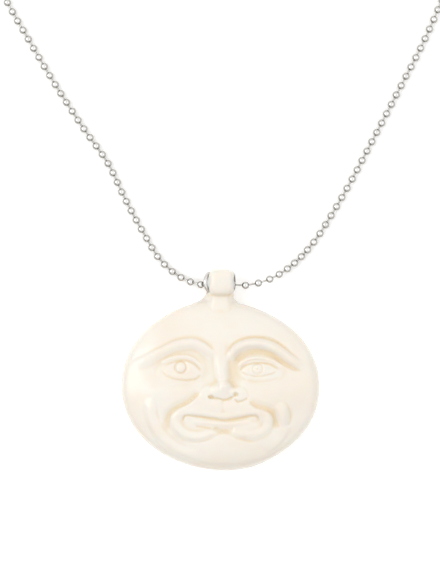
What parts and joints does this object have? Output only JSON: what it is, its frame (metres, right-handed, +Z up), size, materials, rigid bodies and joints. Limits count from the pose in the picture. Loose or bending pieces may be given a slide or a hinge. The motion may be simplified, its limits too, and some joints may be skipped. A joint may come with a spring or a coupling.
{
  "type": "ball chain necklace",
  "caption": "Necklace of fine ball chain, threaded through the lined bail of an oval pendant carved as a moon face, laid face up as a closed loop.",
  "frame": {"origin": "on the surface that the necklace lies on, under the middle of its laid outline", "axes": "+Y from the pendant to the clasp, which is up in the picture; +X to the right as the face is seen; +Z up out of the carved face"},
  "size_m": [0.117, 0.2131, 0.0075],
  "materials": {
    "bone": "polished cream bone, darker in the cuts",
    "silver": "polished silver"
  },
  "bodies": {
    "root": {"moon_pendant": "bone", "bail_liner": "silver", "ball_chain": "silver", "clasp": "silver"}
  },
  "joints": []
}
